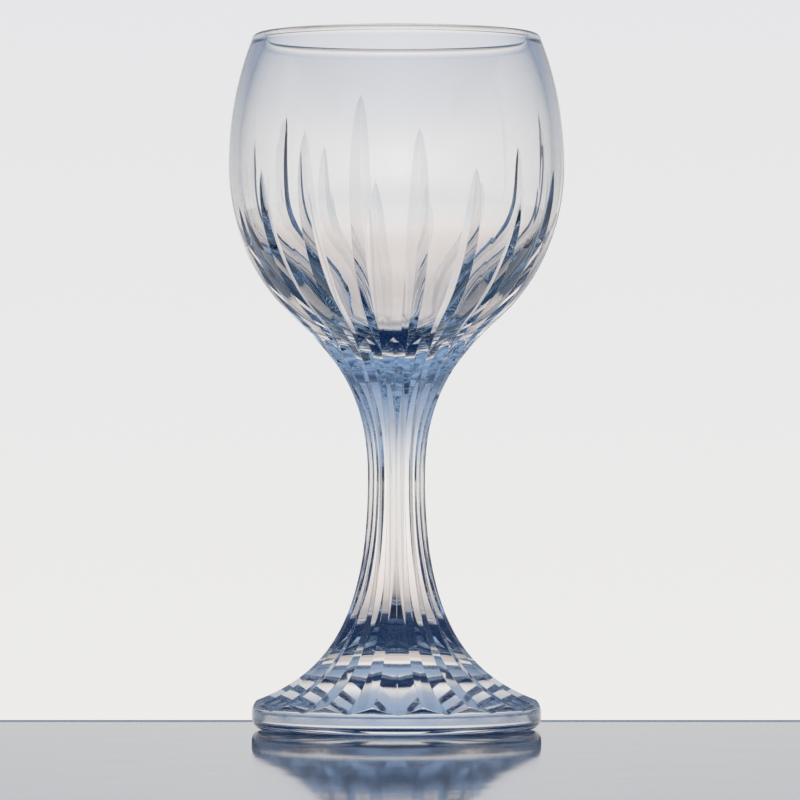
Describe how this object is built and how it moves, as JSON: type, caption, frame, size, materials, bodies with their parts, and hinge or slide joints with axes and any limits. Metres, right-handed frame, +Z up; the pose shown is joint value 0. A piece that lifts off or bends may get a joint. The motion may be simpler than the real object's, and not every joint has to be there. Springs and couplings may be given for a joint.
{
  "type": "water goblet",
  "caption": "Stemmed water goblet of clear cut crystal: globe bowl with wedge cuts of stepped heights, fluted stem and fluted round foot.",
  "frame": {"origin": "centre of the foot's flat underside, where the goblet stands on the table", "axes": "+Z up along the goblet's turning axis, -Y towards the picture's camera, +X to its right"},
  "size_m": [0.086, 0.086, 0.178],
  "materials": {
    "crystal": "polished, clear lead crystal"
  },
  "bodies": {
    "root": {"bowl": "crystal", "stem": "crystal", "foot": "crystal"}
  },
  "joints": []
}
